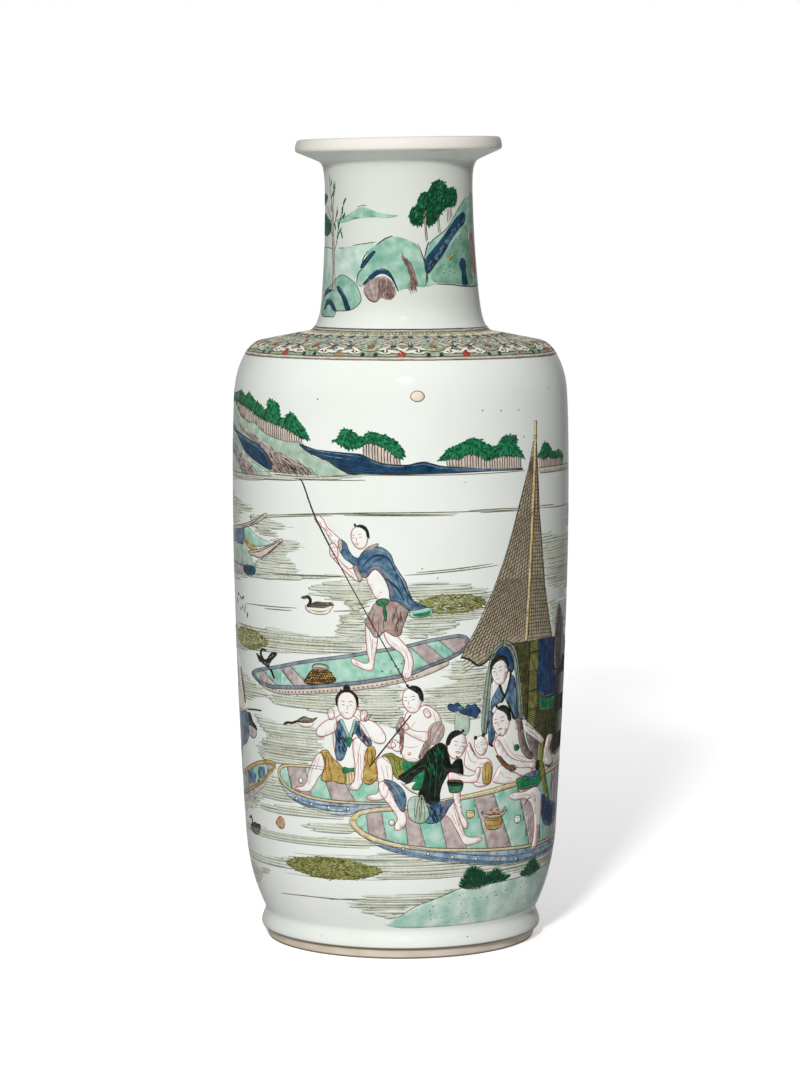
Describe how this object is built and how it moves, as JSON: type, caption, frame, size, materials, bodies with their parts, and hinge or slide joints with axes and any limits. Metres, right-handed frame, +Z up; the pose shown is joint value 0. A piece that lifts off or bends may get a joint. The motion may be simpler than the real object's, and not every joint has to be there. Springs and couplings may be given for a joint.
{
  "type": "rouleau vase",
  "caption": "Tall cylindrical porcelain vase with sloping shoulder, waisted neck, dish mouth and turned foot, painted in overglaze enamels with a river scene.",
  "frame": {"origin": "centre of the foot ring's resting plane", "axes": "+Z up along the axis of revolution, painted front towards -Y, +X to the viewer's right"},
  "size_m": [0.1852, 0.1854, 0.44],
  "materials": {
    "biscuit": "matte",
    "slip": "matte",
    "glaze": "gloss",
    "green_enamel": "gloss",
    "blue_enamel": "gloss",
    "peach_enamel": "gloss",
    "brown_enamel": "gloss",
    "olive_enamel": "gloss"
  },
  "bodies": {
    "root": {"lower_body": "biscuit", "belly_seam": "slip", "upper_body": "biscuit", "neck_seam": "slip", "neck": "biscuit", "outer_glaze": "glaze", "inner_glaze": "glaze", "base_glaze": "glaze", "shoulder_band": "green_enamel", "far_shore": "blue_enamel", "moon": "peach_enamel", "net": "brown_enamel", "punt": "green_enamel", "moored_boat": "green_enamel", "near_boat": "green_enamel", "cabin": "olive_enamel", "weed_beds": "olive_enamel", "bank": "green_enamel", "neck_rocks": "green_enamel"}
  },
  "joints": []
}
